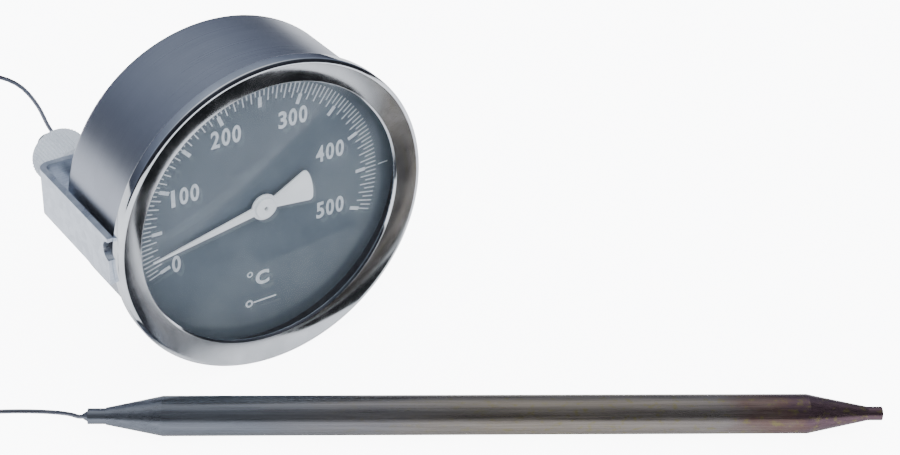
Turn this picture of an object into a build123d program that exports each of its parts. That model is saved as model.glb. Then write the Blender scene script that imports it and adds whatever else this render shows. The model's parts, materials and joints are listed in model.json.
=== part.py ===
from build123d import *
import math
import os

os.makedirs("parts", exist_ok=True)

# Dial thermometer with a remote bulb, in millimetres.
# Row frame: origin on the dial axis in the panel plane, +Y away from the reader, +Z up.
# Gauge parts are drawn in the face frame: X right, Y up, Z out of the dial towards the reader,
# with Z = 0 in the panel plane, and are stood up at the end.

# ---- front of the case
CASE_R = 30.0
CASE_WALL = 0.6
CASE_DEPTH = 21.0
CASE_CORNER_R = 1.0
FLANGE_REACH = 0.6
FLANGE_THICK = 0.6
BEZEL_OVERHANG = 1.25
BEZEL_WALL = 0.5
BEZEL_HEIGHT = 2.8
BEZEL_SHOULDER = 0.75
BEZEL_FOLD_GAP = 0.08
LIP_INSET = 3.8
LIP_HEIGHT = 1.75
LIP_ROUND = 0.35
GLASS_THICK = 1.5
GLASS_FRONT = 0.7
GLASS_GAP = 0.2
GASKET_INSET = 0.25
SPACER_WALL = 0.7
RIM_GAP = 0.1
DIAL_DEPTH = 2.7
DIAL_THICK = 0.4
DIAL_HOLE_R = 1.6
LUG_COUNT = 3
LUG_HEIGHT = 0.6
LUG_REACH = 1.0
LUG_ANGLE = 12.0

# ---- scale, pointer and gear train
POINTER_REST = -101.2
POINTER_R = 23.1
POINTER_THICK = 0.35
POINTER_LIFT = 0.75
POINTER_DISC_R = 2.6
POINTER_ROOT_W = 1.9
POINTER_TIP_W = 0.25
TAIL_R = 10.3
TAIL_HALF_ANGLE = 20.0
TAIL_ROOT_W = 2.3
TAIL_ROUND = 0.8
HUB_R = 2.05
HUB_HEIGHT = 0.6
HUB_BOSS_R = 1.2
HUB_BOSS_H = 0.45
HUB_RECESS = 0.45
ARBOR_R = 0.6
ARBOR_NOSE_R = 0.42
MODULE = 0.25
PINION_TEETH = 16
SECTOR_TEETH = 80
BACKLASH = 0.06
PRESSURE_ANGLE = 20.0
PINION_LENGTH = 2.8
SECTOR_THICK = 0.8
SECTOR_HUB_R = 1.7
SECTOR_HUB_H = 2.2
SECTOR_RIM = 1.6
SECTOR_ARM_W = 1.1
SECTOR_ARBOR_R = 0.7
SECTOR_BEARING = -60.0
SECTOR_SWING = 42.24
SECTOR_BACK_SWING = 1.76
SECTOR_SPARE = 6.0
TAIL_PIN_R = 5.0
TAIL_PIN_REST = -41.0
TAIL_PIN_W = 2.2
LINK_BEARING = 70.0
LINK_LENGTH = 12.0
LINK_W = 1.4
LINK_THICK = 0.5
RIVET_R = 0.5
RIVET_HEAD_R = 0.8
RIVET_HEAD_H = 0.25
BEARING_GAP = 0.04
LAYER_GAP = 0.2

# ---- movement frame, heights below the panel plane
FRONT_PLATE_TOP = 5.2
PLATE_THICK = 1.0
PLATE_SPACING = 6.0
PILLAR_R = 1.3
PLATE_EDGE = 1.0
PLATE_ARBOR_EDGE = 2.6
PILLAR_REACH = [5.5, 5.2, 4.6]
PILLAR_BEARING = [120.0, -120.0, 45.0]
SCREW_R = 0.75
SCREW_HEAD_R = 1.25
SCREW_HEAD_H = 0.7
SCREW_DEPTH = 2.0
SCREW_SLOT = 0.35
BACK_SCREW_R = 1.0
BACK_SCREW_HEAD_R = 1.9
BACK_SCREW_HEAD_H = 1.1
BACK_SCREW_DEPTH = 3.5
BACK_SCREW_HOLE_GAP = 0.1
SPRING_MID = 11.3
SPRING_WIDTH = 0.6
SPRING_STRIP = 0.12
SPRING_START_R = 1.5
SPRING_END_R = 3.7
SPRING_TURNS = 4
COLLET_R = 1.3
COLLET_HEIGHT = 1.3
PEG_R = 0.4
PEG_SET = 0.35

# ---- measuring tube and its socket
TUBE_R = 20.5
TUBE_RADIAL = 1.8
TUBE_AXIAL = 6.0
TUBE_WALL = 0.35
TUBE_MID = 10.0
TUBE_FROM = 264.0
TUBE_TO = -8.0
SOCKET_W = 13.0
SOCKET_LOW = 25.7
SOCKET_HIGH = 18.9
SOCKET_TOP = 6.4
SOCKET_GAP = 0.2
SOCKET_SCREW_X = 4.6
END_BLOCK = 3.2
END_OVERLAP = 2.0
END_LUG_THICK = 0.7
END_LUG_W = 2.4

# ---- capillary, gland and coil
CAP_D = 0.8
CAP_Y = -22.5
GLAND_R = 2.2
GLAND_TIP_R = 0.9
GLAND_FLANGE_H = 1.0
GLAND_LENGTH = 3.6
COIL_X = -73.0
COIL_Y = 26.0
COIL_MID_R = 9.0
COIL_BUNDLE_W = 5.0
COIL_BUNDLE_H = 3.4
COIL_ROUND = 1.2
TIE_THICK = 0.35
TIE_WIDTH = 2.6
TIE_ANGLE = 185.0

# ---- bulb
BULB_R = 3.6
BULB_WALL = 0.7
BULB_LENGTH = 143.2
BULB_COLLAR_L = 3.2
BULB_COLLAR_R = 1.42
BULB_CONE_L = 10.0
BULB_NECK_R = 1.55
BULB_TIP_L = 2.6
BULB_TIP_R = 1.27
BULB_TIP_CONE_L = 11.3
BULB_TIP_BORE = 0.6
BULB_SOLDER_L = 1.0
BULB_SOLDER_R = 1.0
BULB_X = -39.85
BULB_Y = -4.07
BULB_HEADING = -31.8

# ---- panel bracket, studs and nuts
STRAP_THICK = 1.2
STRAP_W = 9.4
STRAP_BEND_R = 2.4
LEG_GAP = 0.7
LEG_END_GAP = 0.1
BASE_GAP = 7.2
LEG_NOTCH_R = 1.9
LEG_NOTCH_Z = 2.1
STUD_X = 23.6
STUD_R = 2.0
STUD_END = 44.0
STUD_FOOT_R = 3.2
STUD_FOOT_H = 0.8
STUD_CHAMFER = 0.5
STRAP_HOLE_GAP = 0.3
NUT_R = 5.5
NUT_LENGTH = 9.7
NUT_CHAMFER = 0.8
NUT_BORE_GAP = 0.05
NUT_SEAT_GAP = 0.05

# ---- worked out from the sizes above
CASE_IN = CASE_R - CASE_WALL
BACK_IN = CASE_DEPTH - CASE_WALL
BEZEL_R = CASE_R + BEZEL_OVERHANG
LIP_R = CASE_R - LIP_INSET
LIP_TOP_R = LIP_R + LIP_ROUND
FACE_SLOPE = (BEZEL_HEIGHT - LIP_HEIGHT) / (BEZEL_R - BEZEL_SHOULDER - LIP_TOP_R)
FACE_DROP = BEZEL_WALL * math.hypot(1, FACE_SLOPE)
GLASS_R = CASE_IN - GLASS_GAP
GLASS_BACK = GLASS_FRONT - GLASS_THICK
RIM_R = CASE_IN - RIM_GAP
DIAL_BACK = -DIAL_DEPTH - DIAL_THICK
POINTER_BACK = -DIAL_DEPTH + POINTER_LIFT
HUB_TOP = POINTER_BACK + POINTER_THICK + HUB_HEIGHT
REAR_PLATE_TOP = FRONT_PLATE_TOP + PLATE_THICK + PLATE_SPACING
REAR_PLATE_BACK = REAR_PLATE_TOP + PLATE_THICK
PINION_PITCH_R = MODULE * PINION_TEETH / 2
SECTOR_PITCH_R = MODULE * SECTOR_TEETH / 2
CENTRES = PINION_PITCH_R + SECTOR_PITCH_R
SECTOR_MID = 9.2
SECTOR_TOP = -SECTOR_MID + SECTOR_THICK / 2
SECTOR_BOTTOM = -SECTOR_MID - SECTOR_THICK / 2
LINK_BOTTOM = SECTOR_TOP + LAYER_GAP
LINK_TOP = LINK_BOTTOM + LINK_THICK
FLOOR = -BEZEL_R
STUD_START = CASE_DEPTH
BASE_INNER = CASE_DEPTH + BASE_GAP
BASE_OUTER = BASE_INNER + STRAP_THICK
LEG_INNER = CASE_R + LEG_GAP
LEG_OUTER = LEG_INNER + STRAP_THICK


def polar(radius, degrees, centre=(0.0, 0.0)):
    """The point at a radius and a counter-clockwise angle from a centre."""
    angle = math.radians(degrees)
    return (centre[0] + radius * math.cos(angle), centre[1] + radius * math.sin(angle))


SECTOR_AXIS = polar(CENTRES, SECTOR_BEARING)
MESH_ANGLE = SECTOR_BEARING + 180.0
TAIL_PIN = polar(TAIL_PIN_R, TAIL_PIN_REST, SECTOR_AXIS)
LINK_END = polar(LINK_LENGTH, LINK_BEARING, TAIL_PIN)
PILLARS = [
    polar(PILLAR_REACH[0], PILLAR_BEARING[0]),
    polar(PILLAR_REACH[1], PILLAR_BEARING[1], SECTOR_AXIS),
    polar(PILLAR_REACH[2], PILLAR_BEARING[2], SECTOR_AXIS),
]


# ---- shared shapes

def rod(radius, low, high, at=(0.0, 0.0)):
    """A cylinder along Z between two heights."""
    return Pos(at[0], at[1], (low + high) / 2) * Cylinder(radius, high - low)


def pipe(outer, inner, low, high, at=(0.0, 0.0)):
    """A tube along Z between two heights."""
    return rod(outer, low, high, at) - rod(inner, low, high, at)


def spun(outline, rounds=()):
    """A body turned about Z from (radius, height) points; rounds are (point number, radius)."""
    face = make_face(Polyline(*outline, close=True))
    for number, radius in rounds:
        corner = face.vertices().sort_by_distance((*outline[number], 0))[0]
        face = fillet(corner, radius)
    return revolve(Plane.XZ * face, Axis.Z)


def hull_plate(circles, low, high):
    """A plate whose edge wraps round a list of (centre, radius) circles."""
    edges = [Pos(*centre) * Circle(radius) for centre, radius in circles]
    outline = make_hull([edge for circle in edges for edge in circle.edges()])
    return extrude(Pos(0, 0, low) * outline, high - low)


def bar(start, end, width, low, high):
    """A flat bar with round ends between two points."""
    return hull_plate([(start, width / 2), (end, width / 2)], low, high)


def slotted_screw(at, seat, head_r, head_h, shank_r, depth, slot):
    """A screw whose head stands up from a seat height, with a straight slot."""
    head = rod(head_r, seat, seat + head_h, at)
    shank = rod(shank_r, seat - depth, seat, at)
    cut = Pos(at[0], at[1], seat + head_h) * Box(2 * head_r + 1, slot, head_h)
    return head + shank - cut


def save(name, shape):
    export_step(shape, f"parts/{name}.step")


def save_gauge(name, shape):
    """Stand a part drawn in the face frame up into the row frame."""
    save(name, Rot(90, 0, 0) * shape)


# ---- case, bezel, glass and dial

def face_back(radius):
    """Height of the bezel face's inner side at a radius."""
    return LIP_HEIGHT + FACE_SLOPE * (radius - LIP_TOP_R) - FACE_DROP


def case_shell():
    outline = [
        (0, -CASE_DEPTH),
        (CASE_R, -CASE_DEPTH),
        (CASE_R, BEZEL_WALL),
        (CASE_R + FLANGE_REACH, BEZEL_WALL),
        (CASE_R + FLANGE_REACH, BEZEL_WALL + FLANGE_THICK),
        (CASE_IN, BEZEL_WALL + FLANGE_THICK),
        (CASE_IN, -BACK_IN),
        (0, -BACK_IN),
    ]
    shell = spun(outline, [(1, CASE_CORNER_R)])
    lug_outline = [
        (CASE_IN - LUG_REACH, DIAL_BACK - LUG_HEIGHT),
        (CASE_IN + CASE_WALL / 2, DIAL_BACK - LUG_HEIGHT),
        (CASE_IN + CASE_WALL / 2, DIAL_BACK),
        (CASE_IN - LUG_REACH, DIAL_BACK),
    ]
    lug_face = Plane.XZ * make_face(Polyline(*lug_outline, close=True))
    lug = revolve(lug_face, Axis.Z, LUG_ANGLE)
    for number in range(LUG_COUNT):
        shell += Rot(0, 0, 90 + 360 / LUG_COUNT * number) * lug
    shell -= rod(CAP_D / 2, -CASE_DEPTH, -BACK_IN, (0, CAP_Y))
    for at in PILLARS + [(SOCKET_SCREW_X, CAP_Y), (-SOCKET_SCREW_X, CAP_Y)]:
        shell -= rod(BACK_SCREW_R + BACK_SCREW_HOLE_GAP, -CASE_DEPTH, -BACK_IN, at)
    return shell


def bezel_ring():
    wall_line = BEZEL_R - BEZEL_WALL
    outline = [
        (CASE_R + BEZEL_FOLD_GAP, 0),
        (BEZEL_R, 0),
        (BEZEL_R, BEZEL_HEIGHT - BEZEL_SHOULDER / 2),
        (BEZEL_R - BEZEL_SHOULDER, BEZEL_HEIGHT),
        (LIP_TOP_R, LIP_HEIGHT),
        (LIP_R, LIP_HEIGHT - LIP_ROUND),
        (LIP_R, face_back(LIP_R)),
        (wall_line, face_back(wall_line)),
        (wall_line, BEZEL_WALL),
        (CASE_R + BEZEL_FOLD_GAP, BEZEL_WALL),
    ]
    rounds = [(1, 0.3), (2, 0.45), (3, 0.6), (4, 0.25), (5, 0.15)]
    return spun(outline, rounds)


def glass_gasket():
    inner = LIP_R + GASKET_INSET
    outline = [
        (inner, GLASS_FRONT),
        (GLASS_R, GLASS_FRONT),
        (GLASS_R, face_back(GLASS_R)),
        (inner, face_back(inner)),
    ]
    return spun(outline)


def front_parts():
    save_gauge("case_shell", case_shell())
    save_gauge("bezel_ring", bezel_ring())
    save_gauge("glass_gasket", glass_gasket())
    save_gauge("glass_pane", rod(GLASS_R, GLASS_BACK, GLASS_FRONT))
    spacer = pipe(RIM_R, RIM_R - SPACER_WALL, -DIAL_DEPTH, GLASS_BACK)
    save_gauge("spacer_ring", spacer)
    save_gauge("dial_plate", pipe(RIM_R, DIAL_HOLE_R, DIAL_BACK, -DIAL_DEPTH))


# ---- pointer, drawn pointing up and turned to its rest angle

def pointer_blade():
    reach = TAIL_R * math.cos(math.radians(TAIL_HALF_ANGLE))
    half = TAIL_R * math.sin(math.radians(TAIL_HALF_ANGLE))
    waist = POINTER_DISC_R * 0.85
    arm = Polyline(
        (-POINTER_ROOT_W / 2, 0),
        (-POINTER_TIP_W / 2, POINTER_R),
        (POINTER_TIP_W / 2, POINTER_R),
        (POINTER_ROOT_W / 2, 0),
        close=True,
    )
    tail = Line((-TAIL_ROOT_W / 2, -waist), (-half, -reach))
    tail += ThreePointArc((-half, -reach), (0, -TAIL_R), (half, -reach))
    tail += Line((half, -reach), (TAIL_ROOT_W / 2, -waist))
    tail += Line((TAIL_ROOT_W / 2, -waist), (-TAIL_ROOT_W / 2, -waist))
    fan = make_face(tail)
    for corner in [(-half, -reach, 0), (half, -reach, 0)]:
        fan = fillet(fan.vertices().sort_by_distance(corner)[0], TAIL_ROUND)
    neck = Pos(0, -waist / 2) * Rectangle(TAIL_ROOT_W, waist)
    blade = make_face(arm) + fan + neck + Circle(POINTER_DISC_R)
    blade -= Circle(ARBOR_NOSE_R)
    return extrude(Pos(0, 0, POINTER_BACK) * blade, POINTER_THICK)


def pointer_hub():
    front = pipe(HUB_R, ARBOR_NOSE_R, POINTER_BACK + POINTER_THICK, HUB_TOP)
    boss = pipe(HUB_BOSS_R, ARBOR_NOSE_R, POINTER_BACK - HUB_BOSS_H, POINTER_BACK)
    return fillet(front.edges().group_by(Axis.Z)[-1].sort_by(SortBy.LENGTH)[-1], 0.15), boss


# ---- gear teeth

def tooth_outline(teeth, addendum=1.0):
    """One tooth standing along +Y, with involute flanks, from inside the root circle."""
    pitch_r = MODULE * teeth / 2
    base_r = pitch_r * math.cos(math.radians(PRESSURE_ANGLE))
    tip_r = pitch_r + addendum * MODULE
    root_r = pitch_r - 1.25 * MODULE
    start_r = max(base_r, root_r)

    def involute(radius):
        angle = math.acos(min(1.0, base_r / radius))
        return math.tan(angle) - angle

    half_pitch = (math.pi * MODULE / 2 - BACKLASH) / 2 / pitch_r

    def flank(radius):
        angle = half_pitch + involute(pitch_r) - involute(radius)
        return (radius * math.sin(angle), radius * math.cos(angle))

    steps = 4
    right = [flank(start_r + (tip_r - start_r) * step / steps) for step in range(steps + 1)]
    foot_r = root_r - 0.3 * MODULE
    foot_angle = math.atan2(right[0][0], right[0][1])
    foot = (foot_r * math.sin(foot_angle), foot_r * math.cos(foot_angle))
    left = [(-x, y) for x, y in reversed(right)]
    return make_face(Polyline(foot, *right, *left, (-foot[0], foot[1]), close=True))


def pinion_arbor():
    middle = -SECTOR_MID
    root_r = PINION_PITCH_R - 1.25 * MODULE
    profile = Circle(root_r)
    for number in range(PINION_TEETH):
        profile += Rot(0, 0, 360 / PINION_TEETH * number) * tooth_outline(PINION_TEETH, 0.9)
    low = middle - PINION_LENGTH / 2
    turned = Rot(0, 0, MESH_ANGLE - 180.0 - 90.0 + 180.0 / PINION_TEETH) * profile
    pinion = extrude(Pos(0, 0, low) * turned, PINION_LENGTH)
    staff = rod(ARBOR_R, -REAR_PLATE_BACK, -FRONT_PLATE_TOP)
    nose = rod(ARBOR_NOSE_R, -FRONT_PLATE_TOP, HUB_TOP - HUB_RECESS)
    return pinion + staff + nose


def sector_gear():
    """A toothed rim on two arms, with a tail arm for the link."""
    root_r = SECTOR_PITCH_R - 1.25 * MODULE
    pitch_angle = 360 / SECTOR_TEETH
    low_angle = MESH_ANGLE - SECTOR_SWING - SECTOR_SPARE
    high_angle = MESH_ANGLE + SECTOR_BACK_SWING + SECTOR_SPARE
    rim = Circle(root_r) - Circle(root_r - SECTOR_RIM)
    reach = 2 * SECTOR_PITCH_R
    wedge_points = [(0, 0), polar(reach, low_angle)]
    wedge_points += [polar(reach, (low_angle + high_angle) / 2), polar(reach, high_angle)]
    wedge = make_face(Polyline(*wedge_points, close=True))
    shape = rim & wedge
    steps_below = int((MESH_ANGLE - low_angle) / pitch_angle)
    steps_above = int((high_angle - MESH_ANGLE) / pitch_angle)
    for step in range(-steps_below, steps_above + 1):
        shape += Rot(0, 0, MESH_ANGLE - 90.0 + pitch_angle * step) * tooth_outline(SECTOR_TEETH, 0.9)
    rim_mid = root_r - SECTOR_RIM / 2
    arm_inset = math.degrees(SECTOR_ARM_W / 2 / rim_mid)
    for angle in (low_angle + arm_inset, high_angle - arm_inset):
        arm = Pos(rim_mid / 2, 0) * Rectangle(rim_mid, SECTOR_ARM_W)
        shape += Rot(0, 0, angle) * arm
    plate = extrude(Pos(0, 0, SECTOR_BOTTOM) * shape, SECTOR_THICK)
    tail_tip = polar(TAIL_PIN_R, TAIL_PIN_REST)
    plate += bar((0, 0), tail_tip, TAIL_PIN_W, SECTOR_BOTTOM, SECTOR_TOP)
    plate += rod(SECTOR_HUB_R, SECTOR_BOTTOM - (SECTOR_HUB_H - SECTOR_THICK), SECTOR_TOP)
    plate -= rod(SECTOR_ARBOR_R, -REAR_PLATE_BACK, 0)
    plate -= rod(RIVET_R + BEARING_GAP, -REAR_PLATE_BACK, 0, tail_tip)
    return Pos(*SECTOR_AXIS) * plate


def link_parts():
    """The link bar and its two rivets; the rivet at the measuring tube's end is left short."""
    link = bar(TAIL_PIN, LINK_END, LINK_W, LINK_BOTTOM, LINK_TOP)
    link -= rod(RIVET_R, LINK_BOTTOM, LINK_TOP, TAIL_PIN)
    link -= rod(RIVET_R, LINK_BOTTOM, LINK_TOP, LINK_END)
    lower_head = SECTOR_BOTTOM - BEARING_GAP
    drive = rod(RIVET_R, lower_head, LINK_TOP, TAIL_PIN)
    drive += rod(RIVET_HEAD_R, lower_head - RIVET_HEAD_H, lower_head, TAIL_PIN)
    drive += rod(RIVET_HEAD_R, LINK_TOP, LINK_TOP + RIVET_HEAD_H, TAIL_PIN)
    free = rod(RIVET_R, LINK_BOTTOM, LINK_TOP, LINK_END)
    free += rod(RIVET_HEAD_R, LINK_TOP, LINK_TOP + RIVET_HEAD_H, LINK_END)
    return link, Compound([drive, free])


def moving_parts():
    turn = Rot(0, 0, -POINTER_REST)
    save_gauge("pointer", turn * pointer_blade())
    front, boss = pointer_hub()
    save_gauge("pointer_hub", Compound([front, boss]))
    save_gauge("pinion_arbor", pinion_arbor())
    collet_low = -SPRING_MID - COLLET_HEIGHT / 2
    collet = pipe(COLLET_R, ARBOR_R, collet_low, collet_low + COLLET_HEIGHT)
    save_gauge("hairspring_collet", collet)
    save_gauge("sector_gear", sector_gear())
    arbor = rod(SECTOR_ARBOR_R, -REAR_PLATE_BACK, -FRONT_PLATE_TOP, SECTOR_AXIS)
    save_gauge("sector_arbor", arbor)
    link, rivets = link_parts()
    save_gauge("link_bar", link)
    save_gauge("link_rivets", rivets)


# ---- movement frame

def movement_plate(low, high, pillar_hole):
    circles = [((0, 0), ARBOR_R + PLATE_ARBOR_EDGE), (SECTOR_AXIS, SECTOR_ARBOR_R + PLATE_ARBOR_EDGE)]
    circles += [(at, PILLAR_R + PLATE_EDGE) for at in PILLARS]
    plate = hull_plate(circles, low, high)
    plate -= rod(ARBOR_R + BEARING_GAP, low, high)
    plate -= rod(SECTOR_ARBOR_R + BEARING_GAP, low, high, SECTOR_AXIS)
    for at in PILLARS:
        plate -= rod(pillar_hole, low, high, at)
    return plate


def hairspring():
    """A flat spiral strip round the pinion's staff, ending at its peg."""
    points = []
    steps = 12 * SPRING_TURNS
    for step in range(steps + 1):
        share = step / steps
        points.append(polar(SPRING_START_R + (SPRING_END_R - SPRING_START_R) * share,
                            360 * SPRING_TURNS * share))
    inside = Spline(*points)
    outer = [polar(math.hypot(*at) + SPRING_STRIP, 360 * SPRING_TURNS * number / steps)
             for number, at in enumerate(points)]
    outside = Spline(*outer)
    ends = Line(points[0], outer[0]) + Line(points[-1], outer[-1])
    strip = make_face(inside + outside + ends)
    return extrude(Pos(0, 0, -SPRING_MID - SPRING_WIDTH / 2) * strip, SPRING_WIDTH)


def movement_frame():
    front_low = -FRONT_PLATE_TOP - PLATE_THICK
    save_gauge("front_plate", movement_plate(front_low, -FRONT_PLATE_TOP, SCREW_R))
    rear_plate = movement_plate(-REAR_PLATE_BACK, -REAR_PLATE_TOP, SCREW_R)
    peg_at = polar(SPRING_END_R + SPRING_STRIP + PEG_SET, 0)
    rear_plate -= rod(PEG_R, -REAR_PLATE_BACK, -REAR_PLATE_TOP, peg_at)
    socket_room = Pos(0, -(SOCKET_LOW + SOCKET_HIGH) / 2, -REAR_PLATE_TOP - PLATE_THICK / 2)
    socket_span = SOCKET_LOW - SOCKET_HIGH + 2 * SOCKET_GAP
    rear_plate -= socket_room * Box(SOCKET_W + 2 * SOCKET_GAP, socket_span, PLATE_THICK)
    save_gauge("rear_plate", rear_plate)
    save_gauge("hairspring_peg", rod(PEG_R, -REAR_PLATE_BACK, -SPRING_MID + SPRING_WIDTH, peg_at))
    save_gauge("hairspring", hairspring())
    pillars = []
    posts = []
    screws = []
    back_screws = []
    for at in PILLARS:
        pillar = rod(PILLAR_R, -REAR_PLATE_TOP, front_low, at)
        spigot = rod(SCREW_R, -REAR_PLATE_BACK, -REAR_PLATE_TOP, at)
        pillars.append(pillar + spigot - rod(SCREW_R, front_low - SCREW_DEPTH, front_low, at))
        post = rod(PILLAR_R, -BACK_IN, -REAR_PLATE_BACK, at)
        posts.append(post - rod(BACK_SCREW_R, -BACK_IN, BACK_SCREW_DEPTH - BACK_IN, at))
        screws.append(slotted_screw(at, -FRONT_PLATE_TOP, SCREW_HEAD_R, SCREW_HEAD_H, SCREW_R,
                                    PLATE_THICK + SCREW_DEPTH, SCREW_SLOT))
        back_screws.append(back_screw(at))
    save_gauge("plate_pillars", Compound(pillars))
    save_gauge("rear_posts", Compound(posts))
    save_gauge("plate_screws", Compound(screws))
    save_gauge("back_screws", Compound(back_screws))


def back_screw(at):
    """A slotted screw put in from behind the case."""
    length = CASE_WALL + BACK_SCREW_DEPTH
    screw = slotted_screw((0, 0), 0, BACK_SCREW_HEAD_R, BACK_SCREW_HEAD_H, BACK_SCREW_R, length, 0.5)
    return Pos(at[0], at[1], -CASE_DEPTH) * Rot(180, 0, 0) * screw


# ---- measuring tube

def tube_band(radial, axial, start, stop):
    """An arc of flattened tube section from one angle down to another."""
    corner = min(radial, axial) * 0.49
    section = Pos(TUBE_R, -TUBE_MID) * RectangleRounded(radial, axial, corner)
    return Rot(0, 0, stop) * revolve(Plane.XZ * section, Axis.Z, start - stop)


def measuring_tube():
    outer = tube_band(TUBE_RADIAL, TUBE_AXIAL, TUBE_FROM, TUBE_TO)
    bore = tube_band(TUBE_RADIAL - 2 * TUBE_WALL, TUBE_AXIAL - 2 * TUBE_WALL, TUBE_FROM, TUBE_TO)
    save_gauge("bourdon_tube", outer - bore)
    height = BACK_IN - SOCKET_TOP
    block = Pos(0, -(SOCKET_LOW + SOCKET_HIGH) / 2, -SOCKET_TOP - height / 2)
    socket = block * Box(SOCKET_W, SOCKET_LOW - SOCKET_HIGH, height)
    socket -= outer
    socket -= rod(CAP_D / 2, -BACK_IN, -TUBE_MID, (0, CAP_Y))
    passage_top = (0, -TUBE_R)
    socket -= bar((0, CAP_Y), passage_top, CAP_D, -TUBE_MID - CAP_D / 2, -TUBE_MID + CAP_D / 2)
    socket -= bar(passage_top, polar(TUBE_R, TUBE_FROM), CAP_D, -TUBE_MID - CAP_D / 2,
                  -TUBE_MID + CAP_D / 2)
    screws = []
    for x in (-SOCKET_SCREW_X, SOCKET_SCREW_X):
        socket -= rod(BACK_SCREW_R, -BACK_IN, BACK_SCREW_DEPTH - BACK_IN, (x, CAP_Y))
        screws.append(back_screw((x, CAP_Y)))
    save_gauge("socket_block", socket)
    save_gauge("socket_screws", Compound(screws))
    end_angle = TUBE_TO - math.degrees(END_BLOCK / 2 / TUBE_R) + math.degrees(END_OVERLAP / 2 / TUBE_R)
    cap_l = END_BLOCK + END_OVERLAP
    cap = Pos(TUBE_R, 0, -TUBE_MID) * Box(TUBE_RADIAL + 1.6, cap_l, TUBE_AXIAL + 1.6)
    cap = Rot(0, 0, end_angle) * cap
    lug_high = SECTOR_TOP - 0.1
    arm_root = polar(TUBE_R - TUBE_RADIAL / 2 - 0.6, end_angle)
    lug = bar(arm_root, LINK_END, END_LUG_W, lug_high - END_LUG_THICK, lug_high)
    lug -= rod(RIVET_R + BEARING_GAP, lug_high - END_LUG_THICK, lug_high, LINK_END)
    save_gauge("tube_end_piece", cap + lug - outer)


# ---- studs, nuts and bracket, drawn in the row frame

def along_y(radius, low, high, x):
    """A cylinder along Y between two places."""
    return Pos(x, (low + high) / 2, 0) * Rot(90, 0, 0) * Cylinder(radius, high - low)


def stud(x):
    shaft = along_y(STUD_R, STUD_START, STUD_END, x)
    shaft = chamfer(shaft.edges().sort_by(Axis.Y)[-1], STUD_CHAMFER)
    return shaft + along_y(STUD_FOOT_R, STUD_START, STUD_START + STUD_FOOT_H, x)


def nut(x):
    low = BASE_OUTER + NUT_SEAT_GAP
    body = along_y(NUT_R, low, low + NUT_LENGTH, x)
    body = chamfer(body.edges().filter_by(GeomType.CIRCLE), NUT_CHAMFER)
    return body - along_y(STUD_R + NUT_BORE_GAP, low, low + NUT_LENGTH, x)


def bracket():
    outer = Polyline(
        (-LEG_OUTER, LEG_END_GAP),
        (-LEG_OUTER, BASE_OUTER),
        (LEG_OUTER, BASE_OUTER),
        (LEG_OUTER, LEG_END_GAP),
        (LEG_INNER, LEG_END_GAP),
        (LEG_INNER, BASE_INNER),
        (-LEG_INNER, BASE_INNER),
        (-LEG_INNER, LEG_END_GAP),
        close=True,
    )
    strip = make_face(outer)
    for x, y, radius in [
        (-LEG_OUTER, BASE_OUTER, STRAP_BEND_R),
        (LEG_OUTER, BASE_OUTER, STRAP_BEND_R),
        (-LEG_INNER, BASE_INNER, STRAP_BEND_R - STRAP_THICK),
        (LEG_INNER, BASE_INNER, STRAP_BEND_R - STRAP_THICK),
    ]:
        strip = fillet(strip.vertices().sort_by_distance((x, y, 0))[0], radius)
    strap = extrude(Pos(0, 0, -STRAP_W / 2) * strip, STRAP_W)
    notch = Rot(0, 90, 0) * Cylinder(LEG_NOTCH_R, 2 * LEG_OUTER + 2)
    strap -= Pos(0, LEG_END_GAP, LEG_NOTCH_Z) * notch
    for x in (-STUD_X, STUD_X):
        strap -= along_y(STUD_R + STRAP_HOLE_GAP, BASE_INNER, BASE_OUTER, x)
    return strap


def bracket_parts():
    save("bracket_studs", Compound([stud(-STUD_X), stud(STUD_X)]))
    save("mounting_bracket", bracket())
    save("left_nut", nut(-STUD_X))
    save("right_nut", nut(STUD_X))


# ---- capillary, coil and bulb, drawn in the row frame

EXIT_Y = CASE_DEPTH + GLAND_LENGTH
CAP_FLOOR = FLOOR + CAP_D / 2

# From the gland, back and up behind the left nut, over to the left and down to the coil.
RISE_ROUTE = [
    (0.0, EXIT_Y, CAP_Y),
    (0.0, 33.0, CAP_Y),
    (-2.5, 41.5, -19.5),
    (-9.5, 48.0, -13.5),
    (-17.0, 50.6, -7.0),
    (-20.3, 50.2, -1.3),
    (-22.0, 50.0, 4.5),
    (-26.0, 49.5, 11.0),
    (-33.5, 48.0, 15.5),
    (-43.0, 46.0, 14.5),
    (-51.5, 44.5, 7.5),
    (-57.0, 43.0, -3.5),
    (-60.0, 40.8, -13.0),
    (-61.6, 37.6, -21.0),
    (-63.6, 34.9, -26.4),
    (-68.2, 35.2, -28.2),
]

# From the coil along the surface to the bulb's neck.
LEAD_ROUTE = [
    (-75.5, 15.6, CAP_FLOOR + TIE_THICK),
    (-68.5, 13.9, CAP_FLOOR),
    (-60.0, 13.2, CAP_FLOOR),
    (-53.0, 10.4, CAP_FLOOR),
    (-47.5, 7.2, CAP_FLOOR),
    (-43.9, 4.7, CAP_FLOOR),
    (-42.1, 2.2, -30.2),
    (-41.2, -0.4, -29.2),
    (-40.8, -2.6, -28.5),
    (-40.19, -3.86, -27.65),
]


def cord_tube(name, route):
    """A round tube along straight runs joined by arcs as large as the runs allow."""
    points = [Vector(*at) for at in route]
    radii = []
    for before, here, after in zip(points, points[1:], points[2:]):
        shorter = min((here - before).length, (after - here).length)
        turn = math.radians((here - before).get_angle(after - here))
        radii.append(0.45 * shorter / math.tan(turn / 2))
    path = FilletPolyline(*points, radius=radii)
    start = Plane(origin=points[0], z_dir=points[1] - points[0])
    tube = sweep(start * Circle(CAP_D / 2), path=path)
    length = sum(edge.length for edge in path.edges())
    expected = math.pi * (CAP_D / 2) ** 2 * length
    print(name, "radii", [round(radius, 1) for radius in radii])
    print(name, "length", round(length, 1), "volume", round(tube.volume, 2), "expected", round(expected, 2))
    save(name, tube)


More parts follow.
